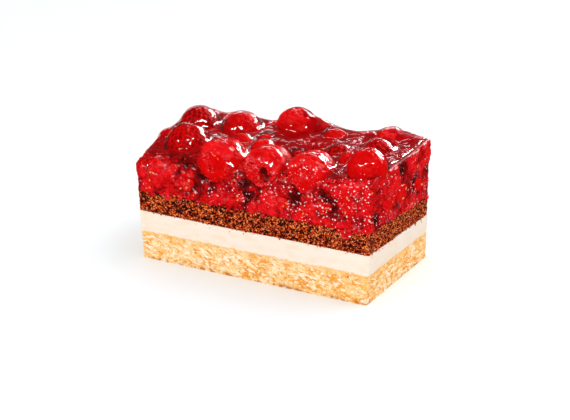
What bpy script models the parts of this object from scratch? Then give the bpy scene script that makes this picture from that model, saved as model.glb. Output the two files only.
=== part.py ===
# Raspberry cream slice: a cake base, a cream filling, a chocolate sponge and raspberries set in red jelly.
# Metres, +Z up. The origin is under the middle of the slice, on the surface that it stands on.
# X runs along the long cut face, which looks towards -Y, and the end that shows looks towards +X.
import math
import random

import bmesh
import bpy
from mathutils import Matrix, Vector, noise

MM = 0.001

# The block, as the knife left it
LENGTH = 98.4 * MM  # along the foot of the long cut faces
WIDTH = 49.6 * MM  # across the foot
END_FLARE = 0.06  # how far each end leans out for each unit of height
SIDE_LEAN = 0.02  # how far each long face leans in for each unit of height
SEAM = 0.3 * MM  # clearance between two pieces that touch

# The seams between the layers: height at the middle, and how far each falls towards the back per unit of y
BASE_TOP = 10.8 * MM
CREAM_TOP = 18.6 * MM
SPONGE_TOP = 27.1 * MM
SEAM_FALL = {BASE_TOP: 0.007, CREAM_TOP: 0.030, SPONGE_TOP: 0.040}
SEAM_WAVE = 0.3 * MM
SEAM_WAVE_PITCH = 17.0 * MM
COLUMNS = 16
ROWS = 8
ON_EDGE = 0.499  # past this, a point of the unit block lies on a cut face

# Relief on the cut faces, in cracks that are longer than high
CRUMB_RELIEF = 0.7 * MM
JELLY_RELIEF = 0.8 * MM
CRACK_LENGTH = 9.0 * MM
CRACK_HEIGHT = 4.0 * MM

# The jelly's top: a level, its rise towards the back and the shown end, and a wave
JELLY_LEVEL = 45.6 * MM
JELLY_BACK_RISE = 1.3 * MM
JELLY_END_RISE = 2.8 * MM
JELLY_WAVE = 0.8 * MM
JELLY_WAVE_PITCH = 21.0 * MM
# Where it departs from that, in millimetres: by how much, how far that reaches, and x and y
JELLY_SWELLS = (
    (-4.5, 15.0, -49.0, -24.7),  # the slumped corner
    (-5.0, 7.5, 10.0, -5.0),  # the hollow
    (2.2, 10.0, 47.0, -25.0),  # the corner that is nearest in the photo
    (1.8, 9.0, 10.0, 23.0),  # banked up against the berries at the back
)

# Raspberries: (x, y, z, radius) in millimetres, front face first, then the shown end, then the top
FRONT_BERRIES = (
    (-43.9, -18.5, 34.2, 6.1),
    (-28.5, -20.5, 33.3, 4.5),
    (-15.4, -16.5, 41.3, 10.3),
    (-4.2, -20.8, 32.0, 3.6),
    (4.5, -17.0, 43.0, 8.9),
    (14.0, -20.5, 32.5, 4.2),
    (23.0, -17.0, 43.8, 8.8),
    (41.2, -20.6, 37.0, 5.7),
)
END_BERRIES = (
    (47.0, 1.0, 34.0, 5.6),
    (46.0, 15.0, 33.5, 5.6),
    (47.5, 13.0, 44.5, 4.1),
)
TOP_BERRIES = (
    (44.7, -14.0, 48.9, 7.8),
    (-35.5, -9.5, 43.8, 8.8),
    (-41.5, 8.0, 45.3, 8.2),
    (-23.5, 10.5, 44.6, 8.3),
    (-10.0, 7.0, 42.0, 5.0),
    (-2.7, 18.0, 47.6, 7.7),
    (7.5, 1.5, 39.3, 5.8),
    (14.5, 17.0, 42.9, 6.8),
    (24.0, 3.5, 43.8, 5.5),
    (38.5, 6.5, 46.3, 6.5),
    (36.2, 21.0, 44.5, 7.5),
)
# More berries fill in by a rule, whole ones high up and broken ones below: the radii to try, largest first
WHOLE_RADII = (8.4, 7.4, 6.4, 5.4, 4.6)
BROKEN_RADII = (5.4, 4.6, 3.8, 3.2)
FILL_TRIES = 300
WHOLE_SINK = (0.45, 0.8)  # how far a whole berry's middle lies under the jelly's level, in radii
BROKEN_FLOOR = 1.5 * MM  # jelly under a broken berry, at least
BROKEN_BAND = 5.0 * MM  # how much higher than that it may lie
TOP_SINK = 0.25
FRONT, BACK, SHOWN_END, FAR_END = (1, -1), (1, 1), (0, 1), (0, -1)  # the axis of a cut face, and which way it looks
BERRY_SPACING = 0.5 * MM
BERRY_BULGE = 1.2 * MM  # how far a berry stands proud of a cut face
BERRY_HIDE = 0.65  # how much of a radius lies behind the cut face
CORNER_POST = 1.3  # the least distance from a berry's middle to the slice's corner, in radii
DRUPELET_PITCH = 4.4 * MM
FEWEST_DRUPELETS = 22
DRUPELET_RISE = 0.85 * MM
OPEN_BERRY = 4  # the front berry whose hollow faces out
BERRY_HOLLOW = 3.0 * MM
HOLLOW_EDGE = 0.75  # the share of the radius at which the hollow starts
GOLDEN_ANGLE = math.pi * (3 - math.sqrt(5))
SOCKET_CLEARANCE = 0.35 * MM

COLOURS = {
    "base_crumb": ((0.90, 0.66, 0.36), 0.85),
    "cream": ((0.93, 0.84, 0.72), 0.45),
    "chocolate_crumb": ((0.20, 0.065, 0.022), 0.9),
    "jelly": ((0.52, 0.008, 0.012), 0.12),
    "raspberry": ((0.60, 0.012, 0.014), 0.25),
}


def clear_scene():
    for old in list(bpy.data.objects):
        bpy.data.objects.remove(old, do_unlink=True)


def material(name):
    colour, roughness = COLOURS[name]
    made = bpy.data.materials.new(name)
    made.use_nodes = True
    shader = made.node_tree.nodes["Principled BSDF"]
    shader.inputs["Base Color"].default_value = (*colour, 1.0)
    shader.inputs["Roughness"].default_value = roughness
    shader.inputs["Metallic"].default_value = 0.0
    return made


def add_object(name, bm, surface, parent):
    mesh = bpy.data.meshes.new(name)
    bm.to_mesh(mesh)
    bm.free()
    mesh.materials.append(surface)
    made = bpy.data.objects.new(name, mesh)
    made.parent = parent
    bpy.context.scene.collection.objects.link(made)
    return made


def half_length(z):
    return LENGTH / 2 + END_FLARE * z


def half_width(z):
    return WIDTH / 2 - SIDE_LEAN * z


def wave(x, y, pitch, layer):
    """A slow unevenness between -1 and 1, different for each layer."""
    return noise.noise(Vector((x / pitch, y / pitch, 3.7 * layer)))


def seam_height(x, y, middle):
    swell = SEAM_WAVE * wave(x, y, SEAM_WAVE_PITCH, 1000 * middle)
    return middle - SEAM_FALL[middle] * y + swell


def jelly_height(x, y):
    """The jelly's free surface, between the berries that stand out of it."""
    along = x / (LENGTH / 2)
    across = y / (WIDTH / 2)
    end_rise = JELLY_END_RISE * max(0.0, along) ** 2
    level = JELLY_LEVEL + JELLY_BACK_RISE * across + end_rise
    level += JELLY_WAVE * wave(x, y, JELLY_WAVE_PITCH, 60)
    for height, reach, at_x, at_y in JELLY_SWELLS:
        off = math.hypot(x / MM - at_x, y / MM - at_y) / reach
        level += height * MM * math.exp(-off * off)
    return level


def block(levels):
    """A unit block, -0.5 to 0.5 along x and y and 0 to 1 in z, cut into columns, rows and levels."""
    bm = bmesh.new()
    bmesh.ops.create_grid(bm, x_segments=COLUMNS, y_segments=ROWS, size=0.5)
    top = bm.faces[:]
    for level in range(levels):
        grown = bmesh.ops.extrude_face_region(bm, geom=top)["geom"]
        if level:
            bmesh.ops.delete(bm, geom=top, context="FACES_ONLY")
        top = [item for item in grown if isinstance(item, bmesh.types.BMFace)]
        raised = [item for item in grown if isinstance(item, bmesh.types.BMVert)]
        bmesh.ops.translate(bm, verts=raised, vec=(0, 0, 1 / levels))
    bmesh.ops.recalc_face_normals(bm, faces=bm.faces[:])
    return bm


def layer(name, surface, parent, levels, floor, ceiling, relief):
    """One layer of the slice, from its floor to its ceiling, with its cut faces roughened by the relief."""
    bm = block(levels)
    for corner in bm.verts:
        u, v, w = corner.co
        x, y = u * LENGTH, v * WIDTH
        z = floor(x, y) + w * (ceiling(x, y) - floor(x, y))
        rough = noise.noise(Vector((x / CRACK_LENGTH, y / CRACK_LENGTH, z / CRACK_HEIGHT)))
        inset = relief * (0.5 + 0.5 * rough)
        reach_x = half_length(z) - (inset if abs(u) > ON_EDGE else 0)
        reach_y = half_width(z) - (inset if abs(v) > ON_EDGE else 0)
        corner.co = Vector((2 * u * reach_x, 2 * v * reach_y, z))
    return add_object(name, bm, surface, parent)


def above(middle):
    return lambda x, y: seam_height(x, y, middle) + SEAM / 2


def below(middle):
    return lambda x, y: seam_height(x, y, middle) - SEAM / 2


def clear_of(centre, radius, placed):
    return all((centre - other).length > radius + size + BERRY_SPACING for other, size in placed)


def fill(placed, count, radii, spot, seed):
    """Puts up to count more berries at random spots of one side, the largest that fit first."""
    draw = random.Random(seed)
    added = 0
    for size in radii:
        for _ in range(FILL_TRIES):
            radius = size * MM * draw.uniform(0.93, 1.0)
            centre = spot(draw, radius)
            if added < count and clear_of(centre, radius, placed):
                placed.append((centre, radius))
                added += 1


def face_spot(face, whole):
    """Spots on one cut face: high up for a whole berry, low down in the jelly for a broken one."""
    axis, side = face

    def spot(draw, radius):
        if whole:
            z = JELLY_LEVEL - radius * draw.uniform(*WHOLE_SINK)
        else:
            z = SPONGE_TOP + BROKEN_FLOOR + radius + draw.uniform(0, BROKEN_BAND)
        reach = (half_length(z), half_width(z))
        centre = Vector((0, 0, z))
        centre[axis] = side * (reach[axis] - BERRY_HIDE * radius)
        centre[1 - axis] = draw.uniform(-1, 1) * (reach[1 - axis] - CORNER_POST * radius)
        if whole:
            centre.z += jelly_height(centre.x, centre.y) - JELLY_LEVEL
        return centre

    return spot


def top_spot(draw, radius):
    x = draw.uniform(-1, 1) * (LENGTH / 2 - radius)
    y = draw.uniform(-1, 1) * (WIDTH / 2 - radius)
    return Vector((x, y, jelly_height(x, y) - TOP_SINK * radius))


def berry_places():
    """Every berry's centre and radius: those that show are placed by hand, the rest are filled in."""
    by_hand = FRONT_BERRIES + END_BERRIES + TOP_BERRIES
    placed = [(Vector(row[:3]) * MM, row[3] * MM) for row in by_hand]
    fill(placed, 5, WHOLE_RADII, face_spot(BACK, whole=True), seed=1)
    fill(placed, 2, WHOLE_RADII, face_spot(FAR_END, whole=True), seed=2)
    fill(placed, 4, WHOLE_RADII, top_spot, seed=3)
    fill(placed, 6, BROKEN_RADII, face_spot(BACK, whole=False), seed=4)
    fill(placed, 3, BROKEN_RADII, face_spot(FAR_END, whole=False), seed=5)
    fill(placed, 3, BROKEN_RADII, face_spot(FRONT, whole=False), seed=6)
    fill(placed, 1, BROKEN_RADII, face_spot(SHOWN_END, whole=False), seed=7)
    return placed


def pressed(point):
    """Holds a point back where it would stand too far out of the cut faces, as a knife and a tin press a berry."""
    x, y, z = point
    for axis, limit in ((0, half_length(z)), (1, half_width(z))):
        over = abs(point[axis]) - limit
        if over > 0:
            proud = BERRY_BULGE * (1 - math.exp(-over / BERRY_BULGE))
            point[axis] = math.copysign(limit + proud, point[axis])
    return point


def golden_ball(count, radius):
    """A closed ball of triangles, its points spread evenly by the golden angle."""
    bm = bmesh.new()
    for number in range(count):
        height = 1 - (2 * number + 1) / count
        ring = math.sqrt(1 - height * height)
        angle = GOLDEN_ANGLE * number
        bm.verts.new(Vector((ring * math.cos(angle), ring * math.sin(angle), height)) * radius)
    bmesh.ops.convex_hull(bm, input=bm.verts[:])
    bmesh.ops.recalc_face_normals(bm, faces=bm.faces[:])
    return bm


def raise_drupelets(bm):
    """Makes every point of a ball a drupelet's peak, ringed by new points, which it returns, for the valleys."""
    peaks = set(bm.verts)
    ridges = bm.edges[:]
    bmesh.ops.poke(bm, faces=bm.faces[:])
    bmesh.ops.rotate_edges(bm, edges=ridges, use_ccw=False)
    return [point for point in bm.verts if point not in peaks]


def berry_turn(number):
    """How a berry is turned and squeezed: each its own way, and the open one with its hollow to the front."""
    draw = random.Random(100 + number)
    squeeze = Matrix.Diagonal((draw.uniform(0.93, 1.0), draw.uniform(0.93, 1.0), 1.0, 1.0))
    if number == OPEN_BERRY:
        return Matrix.Rotation(math.radians(72), 4, "X") @ squeeze
    tip = Matrix.Rotation(draw.uniform(0, math.pi), 4, "Y")
    spin = Matrix.Rotation(draw.uniform(0, math.tau), 4, "Z")
    return spin @ tip @ squeeze


def drupelet_count(radius):
    spread = 4 * math.pi * radius * radius
    return max(FEWEST_DRUPELETS, round(spread / (0.866 * DRUPELET_PITCH * DRUPELET_PITCH)))


def raspberry(name, centre, radius, number, surface, parent):
    """One berry: a slightly long ball of drupelets, turned its own way, pressed where it meets a cut face."""
    bm = golden_ball(drupelet_count(radius), radius)
    for point in raise_drupelets(bm):
        point.co *= (radius - DRUPELET_RISE) / point.co.length
    if number == OPEN_BERRY:
        for point in bm.verts:
            past_edge = max(0.0, point.co.z / radius - HOLLOW_EDGE) / (1 - HOLLOW_EDGE)
            point.co.z -= BERRY_HOLLOW * past_edge
    bmesh.ops.transform(bm, matrix=berry_turn(number), verts=bm.verts[:])
    for point in bm.verts:
        point.co = pressed(point.co + centre) - centre
    bmesh.ops.recalc_face_normals(bm, faces=bm.faces[:])
    berry = add_object(name, bm, surface, parent)
    berry.location = centre
    berry.data.shade_smooth()
    return berry


def cut_sockets(jelly, placed):
    """Opens the jelly round every berry, with the berry's own form a little larger."""
    sockets = bpy.data.collections.new("sockets")
    bpy.context.scene.collection.children.link(sockets)
    for number, (centre, radius) in enumerate(placed):
        bm = golden_ball(drupelet_count(radius), radius + SOCKET_CLEARANCE)
        bmesh.ops.transform(bm, matrix=berry_turn(number), verts=bm.verts[:])
        mesh = bpy.data.meshes.new("socket")
        bm.to_mesh(mesh)
        bm.free()
        cutter = bpy.data.objects.new("socket", mesh)
        cutter.location = centre
        cutter.hide_render = True
        cutter.display_type = "WIRE"
        sockets.objects.link(cutter)
    cut = jelly.modifiers.new("sockets", "BOOLEAN")
    cut.operation = "DIFFERENCE"
    cut.operand_type = "COLLECTION"
    cut.collection = sockets
    cut.solver = "EXACT"


def build():
    clear_scene()
    slice_root = bpy.data.objects.new("slice", None)
    bpy.context.scene.collection.objects.link(slice_root)
    surfaces = {name: material(name) for name in COLOURS}
    layer("base_cake", surfaces["base_crumb"], slice_root, 3, lambda x, y: 0.0, below(BASE_TOP), CRUMB_RELIEF)
    layer("cream_filling", surfaces["cream"], slice_root, 1, above(BASE_TOP), below(CREAM_TOP), 0.0)
    layer("chocolate_sponge", surfaces["chocolate_crumb"], slice_root, 3, above(CREAM_TOP), below(SPONGE_TOP),
          CRUMB_RELIEF)
    jelly = layer("raspberry_jelly", surfaces["jelly"], slice_root, 3, above(SPONGE_TOP), jelly_height,
                  JELLY_RELIEF)
    placed = berry_places()
    cut_sockets(jelly, placed)
    for number, (centre, radius) in enumerate(placed):
        raspberry(f"raspberry_{number + 1:02d}", centre, radius, number, surfaces["raspberry"], slice_root)


build()
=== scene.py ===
"""Raspberry cream slice: cake base, cream filling, chocolate sponge, and raspberries set in red jelly."""

import math
import random

import bmesh
import bpy
from mathutils import Matrix, Vector, kdtree, noise


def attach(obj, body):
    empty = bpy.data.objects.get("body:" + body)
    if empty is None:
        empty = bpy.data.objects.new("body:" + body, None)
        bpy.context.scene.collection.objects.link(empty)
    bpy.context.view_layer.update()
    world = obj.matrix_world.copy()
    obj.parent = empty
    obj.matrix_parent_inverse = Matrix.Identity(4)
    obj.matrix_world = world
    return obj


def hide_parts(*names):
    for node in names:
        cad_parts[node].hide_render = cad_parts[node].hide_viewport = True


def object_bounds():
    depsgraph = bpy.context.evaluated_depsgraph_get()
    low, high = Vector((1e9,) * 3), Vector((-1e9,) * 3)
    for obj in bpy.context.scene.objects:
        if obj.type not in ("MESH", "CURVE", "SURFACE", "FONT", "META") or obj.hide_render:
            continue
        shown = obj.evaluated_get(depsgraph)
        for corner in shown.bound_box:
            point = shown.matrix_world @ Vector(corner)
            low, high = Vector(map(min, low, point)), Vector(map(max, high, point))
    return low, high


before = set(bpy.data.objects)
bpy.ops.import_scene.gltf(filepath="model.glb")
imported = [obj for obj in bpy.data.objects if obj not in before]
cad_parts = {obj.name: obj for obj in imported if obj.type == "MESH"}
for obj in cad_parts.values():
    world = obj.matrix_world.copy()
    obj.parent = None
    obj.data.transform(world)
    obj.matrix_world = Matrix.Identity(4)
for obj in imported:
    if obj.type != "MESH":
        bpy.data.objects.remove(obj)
cad_low, cad_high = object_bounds()
MM = 0.001

# Camera: it looks at the near corner from a little above, along the long cut face that looks towards -Y
# and the end that looks towards +X, and it is held a little askew, as in the photograph.
CAMERA_AIM = Vector((0, 0, 25 * MM))
CAMERA_DISTANCE = 0.613
CAMERA_ROUND = math.radians(31.15)
CAMERA_UP = math.radians(21.56)
CAMERA_ASKEW = math.radians(-1.85)
CAMERA_LENS = 101
CAMERA_SENSOR = 36
CAMERA_SHIFT = (0.0052, -0.0229)
CAMERA_NEAR = 0.05

backwards = Vector(
    (
        math.sin(CAMERA_ROUND) * math.cos(CAMERA_UP),
        -math.cos(CAMERA_ROUND) * math.cos(CAMERA_UP),
        math.sin(CAMERA_UP),
    )
)
rightwards = Vector((0, 0, 1)).cross(backwards).normalized()
rightwards = Matrix.Rotation(CAMERA_ASKEW, 3, backwards) @ rightwards
upwards = backwards.cross(rightwards)
camera = bpy.data.objects.new("camera", bpy.data.cameras.new("camera"))
camera.matrix_world = Matrix.Translation(CAMERA_AIM + CAMERA_DISTANCE * backwards) @ Matrix(
    (rightwards, upwards, backwards)
).transposed().to_4x4()
camera.data.lens = CAMERA_LENS
camera.data.sensor_width = CAMERA_SENSOR
camera.data.shift_x, camera.data.shift_y = CAMERA_SHIFT
camera.data.clip_start = CAMERA_NEAR
bpy.context.scene.collection.objects.link(camera)
bpy.context.scene.camera = camera
bpy.context.scene.view_settings.view_transform = "Standard"

# Light: a white tent lit from all round, and two soft boxes that keep the top and the cut faces bright.
# Glossy surfaces see the tent dimmed, and mirror only the bright strips behind, which draw the streaks on
# the glaze, the small sparkle boxes in front, and a low pale card behind on the left.
SOFT_BOXES = (
    # name, place, size, watts, colour, and whether it is only mirrored or only lights the surfaces
    ("blind_strip_1", (0.13, 0.67, 0.30), (0.60, 0.046), 3.0, (1.0, 1.0, 1.0), True),
    ("blind_strip_2", (0.18, 0.62, 0.40), (0.60, 0.046), 3.0, (1.0, 1.0, 1.0), True),
    ("blind_strip_3", (0.24, 0.56, 0.49), (0.50, 0.046), 2.5, (1.0, 1.0, 1.0), True),
    ("sparkle_left", (-0.15, -0.75, 0.45), (0.10, 0.08), 1.6, (1.0, 1.0, 1.0), True),
    ("sparkle_high", (0.12, -0.62, 0.66), (0.10, 0.06), 1.4, (1.0, 1.0, 1.0), True),
    ("sparkle_low", (-0.36, -0.60, 0.42), (0.06, 0.10), 1.2, (1.0, 1.0, 1.0), True),
    ("sparkle_right", (0.40, -0.30, 0.46), (0.12, 0.06), 1.8, (1.0, 1.0, 1.0), True),
    ("thin_strip", (-0.34, 0.60, 0.36), (0.50, 0.022), 0.42, (0.92, 0.92, 1.0), True),
    ("high_strip", (-0.22, 0.45, 0.56), (0.40, 0.025), 0.32, (0.88, 0.88, 1.0), True),
    ("low_card", (-0.45, 0.60, -0.02), (0.70, 0.25), 0.16, (1.0, 1.0, 1.0), True),
    ("key_box", (0.30, 0.25, 0.75), (0.55, 0.55), 1.9, (1.0, 1.0, 1.0), False),
    ("front_box", (0.10, -0.80, 0.45), (0.60, 0.40), 1.7, (1.0, 1.0, 1.0), False),
)
for name, place, size, watts, colour, mirrored in SOFT_BOXES:
    lamp = bpy.data.lights.new(name, "AREA")
    lamp.shape = "RECTANGLE"
    lamp.size, lamp.size_y = size
    lamp.energy = watts
    lamp.color = colour
    soft_box = bpy.data.objects.new(name, lamp)
    soft_box.visible_diffuse = not mirrored
    soft_box.visible_glossy = mirrored
    facing = (CAMERA_AIM - Vector(place)).to_track_quat("-Z", "Y")
    soft_box.matrix_world = Matrix.Translation(place) @ facing.to_matrix().to_4x4()
    bpy.context.scene.collection.objects.link(soft_box)
TENT_STRENGTH = 0.88
TENT_IN_GLOSS = 0.03
tent = bpy.data.worlds.new("tent")
tent.use_nodes = True
bpy.context.scene.world = tent


class Wire:
    """A socket of a material's nodes. A sum on wires adds Math nodes, and node() adds any other node."""

    def __init__(self, tree, socket=None):
        self.tree = tree
        self.socket = socket

    def node(self, kind, settings=None, values=None, output=0):
        made = self.tree.nodes.new("ShaderNode" + kind)
        for name, setting in (settings or {}).items():
            if name == "stops":
                lay_stops(made.color_ramp, setting)
            else:
                setattr(made, name, setting)
        for key, value in (values or {}).items():
            if isinstance(value, Wire):
                self.tree.links.new(value.socket, made.inputs[key])
            else:
                made.inputs[key].default_value = value
        return Wire(self.tree, made.outputs[output])

    def sum(self, operation, *values):
        return self.node("Math", {"operation": operation}, dict(enumerate(values)))

    def __add__(self, other):
        return self.sum("ADD", self, other)

    def __sub__(self, other):
        return self.sum("SUBTRACT", self, other)

    def __rsub__(self, other):
        return self.sum("SUBTRACT", other, self)

    def __mul__(self, other):
        return self.sum("MULTIPLY", self, other)

    def __pow__(self, other):
        return self.sum("POWER", self, other)

    __radd__ = __add__
    __rmul__ = __mul__

    def between(self, low, high):
        """0 where the value is low, 1 where it is high, and a smooth rise from one to the other."""
        limits = {"From Min": low, "From Max": high}
        return self.node("MapRange", {"interpolation_type": "SMOOTHSTEP"}, {"Value": self, **limits})

    def blend(self, first, second):
        """From the first colour at 0 to the second at 1."""
        return self.node("Mix", {"data_type": "RGBA"}, {0: self, 6: first, 7: second}, output=2)

    def bump(self, strength, distance):
        """Fine relief, as high as the value."""
        return self.node("Bump", {}, {"Strength": strength, "Distance": distance, "Height": self})

    def ramp(self, *stops):
        """From colour to colour through the stops, each a value and its colour."""
        return self.node("ValToRGB", {"stops": stops}, {0: self})

    def grain(self, pitch, detail=3.0, roughness=0.55, stretch=(1, 1, 1), dip=0.0):
        """Cloudy noise on Object coordinates, about 0 to 1, its spots as far apart as the pitch."""
        return self.node(
            "TexNoise",
            {},
            {
                "Vector": self.place(stretch, dip),
                "Scale": 1 / pitch,
                "Detail": detail,
                "Roughness": roughness,
            },
        )

    def place(self, stretch=(1, 1, 1), dip=0.0):
        """Object coordinates, drawn out along the axes, with the x axis dipped by an angle."""
        spot = self.node("TexCoord", output="Object")
        if stretch == (1, 1, 1):
            return spot
        turned = {"Vector": spot, "Scale": stretch, "Rotation": (0, dip, 0)}
        return self.node("Mapping", {"vector_type": "TEXTURE"}, turned)

    def along(self, axis):
        """How far along an axis, X, Y or Z, on Object coordinates."""
        return self.node("SeparateXYZ", {}, {0: self.place()}, output=axis)

    def cells(self, pitch, output="Distance", shake=0.0):
        """Voronoi cells on Object coordinates, knocked out of shape by up to the shake."""
        spot = self.place()
        if shake:
            waves = {"Vector": spot, "Scale": 0.5 / shake, "Detail": 1.0}
            clouds = self.node("TexNoise", {}, waves, output="Color")
            parts = {0: clouds, 1: [shake] * 3, 2: spot}
            spot = self.node("VectorMath", {"operation": "MULTIPLY_ADD"}, parts)
        return self.node("TexVoronoi", {}, {"Vector": spot, "Scale": 1 / pitch}, output=output)

    def mark(self, name):
        """A number that the mesh carries at each of its points."""
        return self.node("Attribute", {"attribute_name": name}, output="Fac")


tent_wire = Wire(tent.node_tree)
seen_in_gloss = tent_wire.node("LightPath", output="Is Glossy Ray")
background = tent.node_tree.nodes["Background"]
background.inputs["Color"].default_value = (1.0, 1.0, 1.0, 1.0)
strength = TENT_STRENGTH + (TENT_IN_GLOSS - TENT_STRENGTH) * seen_in_gloss
tent.node_tree.links.new(strength.socket, background.inputs["Strength"])

# Floor: a plain pale sheet of paper under the slice, far larger than the picture shows.
FLOOR_REACH = 3.0
PAPER_CLOUDS = 40 * MM


def dye(red, green, blue):
    """A colour as read off a screen, 0 to 255, in the linear values that a shader takes."""
    return tuple((part / 255) ** 2.2 for part in (red, green, blue)) + (1.0,)


def new_finish(name, plain):
    """A material with its plain values set on the Principled shader. Returns it and a wire to build on."""
    finish = bpy.data.materials.new(name)
    finish.use_nodes = True
    shader = finish.node_tree.nodes["Principled BSDF"]
    for socket, value in plain.items():
        shader.inputs[socket].default_value = value
    return finish, Wire(finish.node_tree)


def coat(finish, **wires):
    """Links wires to the Principled shader's sockets, named with underscores for spaces."""
    shader = finish.node_tree.nodes["Principled BSDF"]
    for name, wire in wires.items():
        finish.node_tree.links.new(wire.socket, shader.inputs[name.replace("_", " ").title()])


floor_bm = bmesh.new()
bmesh.ops.create_grid(floor_bm, x_segments=1, y_segments=1, size=FLOOR_REACH)
floor_mesh = bpy.data.meshes.new("floor")
floor_bm.to_mesh(floor_mesh)
floor_bm.free()
floor = bpy.data.objects.new("floor", floor_mesh)
paper_finish, wire = new_finish("paper", {"Roughness": 0.9, "Specular IOR Level": 0.0})
coat(paper_finish, base_color=wire.grain(PAPER_CLOUDS).blend(dye(247, 252, 255), dye(248, 253, 255)))
floor_mesh.materials.append(paper_finish)
floor.visible_glossy = False
bpy.context.scene.collection.objects.link(floor)

# Cake base: a pale, close, crumbly sheet cake about 11 mm thick. The knife has torn low cracks along its
# cut faces, and its baked underside is flat and a little browned.
LENGTH = 98.4 * MM
WIDTH = 49.6 * MM
END_FLARE = 0.06
SIDE_LEAN = 0.02
SEAM_WAVE = 0.3 * MM
SEAM_WAVE_PITCH = 17.0 * MM
BASE_TOP = (10.8 * MM, 0.007)
BASE_CELL = 0.4 * MM
BASE_LUMPS = 2.4 * MM
BASE_PITS = 2.0 * MM
BASE_CRACKS = 3.4 * MM
BASE_CRACK_DIP = 0.22
BASE_CRACKED_PARTS = 8.0 * MM
BASE_DEEPEST = 0.7 * MM
BASE_FOOT = 3.0 * MM
CORNER_ROUND = 0.8 * MM
# Each layer starts as a block of unit size, whose points past this from its middle lie on a wall.
ON_WALL = 0.4999
# A face with more corners than this is a layer's floor or lid.
LID_CORNERS = 20


def half_length(z):
    return LENGTH / 2 + END_FLARE * z


def half_width(z):
    return WIDTH / 2 - SIDE_LEAN * z


def seam(x, y, top):
    """The height of the seam between two layers: each falls a little towards the back, and waves."""
    height, fall = top
    ripple = noise.noise(Vector((x / SEAM_WAVE_PITCH, y / SEAM_WAVE_PITCH, 3700 * height)))
    return height - fall * y + SEAM_WAVE * ripple


def cut_block(cell, height):
    """A block of unit size whose walls are cut into cells. Its floor and lid are one face each."""
    bm = bmesh.new()
    bmesh.ops.create_grid(bm, x_segments=1, y_segments=1, size=0.5)
    for axis, size in ((0, LENGTH), (1, WIDTH)):
        sides = [edge for edge in bm.edges if abs(edge.verts[0].co[axis] - edge.verts[1].co[axis]) > 0.9]
        bmesh.ops.bisect_edges(bm, edges=sides, cuts=round(size / cell) - 1)
    lid = bm.faces[:]
    levels = round(height / cell)
    for level in range(levels):
        grown = bmesh.ops.extrude_face_region(bm, geom=lid)["geom"]
        if level:
            bmesh.ops.delete(bm, geom=lid, context="FACES_ONLY")
        lid = [item for item in grown if isinstance(item, bmesh.types.BMFace)]
        raised = [item for item in grown if isinstance(item, bmesh.types.BMVert)]
        bmesh.ops.translate(bm, verts=raised, vec=(0, 0, 1 / levels))
    bmesh.ops.recalc_face_normals(bm, faces=bm.faces[:])
    return bm


def rounded(x, y, reach_x, reach_y, radius):
    """Draws a point of a wall in round the block's upright corners."""
    over_x = abs(x) - (reach_x - radius)
    over_y = abs(y) - (reach_y - radius)
    if over_x > 0 and over_y > 0:
        share = radius / max(radius, math.hypot(over_x, over_y))
        x = math.copysign(reach_x - radius + over_x * share, x)
        y = math.copysign(reach_y - radius + over_y * share, y)
    return x, y


def in_order(bm):
    """Puts the faces in the order of their corners, as extruding leaves them in a new one each time."""
    bm.verts.index_update()
    in_row = sorted(bm.faces, key=lambda face: sorted(point.index for point in face.verts))
    for place, face in enumerate(in_row):
        face.index = place
    bm.faces.sort()


def smooth(bm):
    """Shades a mesh smoothly, save along the rims between its walls and its lid or floor."""
    for face in bm.faces:
        face.smooth = True
    for edge in bm.edges:
        if any(len(face.verts) > LID_CORNERS for face in edge.link_faces):
            edge.smooth = False


def finish_piece(name, bm, finish, slot, *nodes):
    """Makes a piece of a mesh, rides it on the slice and hides the parts of model.glb that it stands in
    for.
    """
    mesh = bpy.data.meshes.new(name)
    bm.to_mesh(mesh)
    bm.free()
    mesh.materials.append(finish)
    piece = bpy.data.objects.new(name, mesh)
    bpy.context.scene.collection.objects.link(piece)
    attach(piece, "root")
    if nodes:
        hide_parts(*nodes)


def layer(cell, floor, ceiling, relief, radius):
    """A layer of the slice. The relief gives how far in a point of the cut faces lies, and its mark."""
    height = ceiling(0, 0) - floor(0, 0)
    bm = cut_block(cell, height)
    mark = bm.verts.layers.float.new("hollow")
    for point in bm.verts:
        u, v, w = point.co
        x, y = u * LENGTH, v * WIDTH
        low, high = floor(x, y), ceiling(x, y)
        z = low + w * (high - low)
        inward, hollow = relief(x, y, z, w)
        x, y = rounded(2 * u * half_length(z), 2 * v * half_width(z), half_length(z), half_width(z), radius)
        core = (x * (1 - radius / half_length(z)), y * (1 - radius / half_width(z)))
        outward = Vector((x, y)) - Vector(core)
        if abs(u) < ON_WALL:
            outward.x = 0
        if abs(v) < ON_WALL:
            outward.y = 0
        outward.normalize()
        point.co = (x - inward * outward.x, y - inward * outward.y, z)
        point[mark] = hollow
    in_order(bm)
    smooth(bm)
    return bm


def cells_at(spot, pitch):
    """How far a spot is from the nearest and the next of scattered points, in pitches."""
    gaps = noise.voronoi(spot / pitch)[0]
    return gaps[0], gaps[1]


def base_relief(x, y, z, w):
    """The base's cut faces: lumpy crumb with low torn cracks and pits, shallower at its foot."""
    level = Vector((x, y, 2.2 * z))
    lumps = noise.fractal(level / BASE_LUMPS, 0.8, 2.0, 4)
    dipped = Vector((x, y, 2.6 * (z + BASE_CRACK_DIP * x)))
    torn = noise.noise(dipped / BASE_CRACKS + Vector((7, 3, 1)))
    crack = max(0.0, 1 - abs(torn) / 0.10)
    crack *= min(1.0, max(0.0, 0.35 + 2.2 * noise.noise(level / BASE_CRACKED_PARTS)))
    pit = max(0.0, 1 - cells_at(level, BASE_PITS)[0] / 0.36)
    depth = min(1.0, max(0.0, 0.22 - 0.30 * lumps + 0.65 * crack + 0.25 * pit))
    foot = min(1.0, 0.3 + z / BASE_FOOT)
    return BASE_DEEPEST * depth * foot, depth


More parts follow.
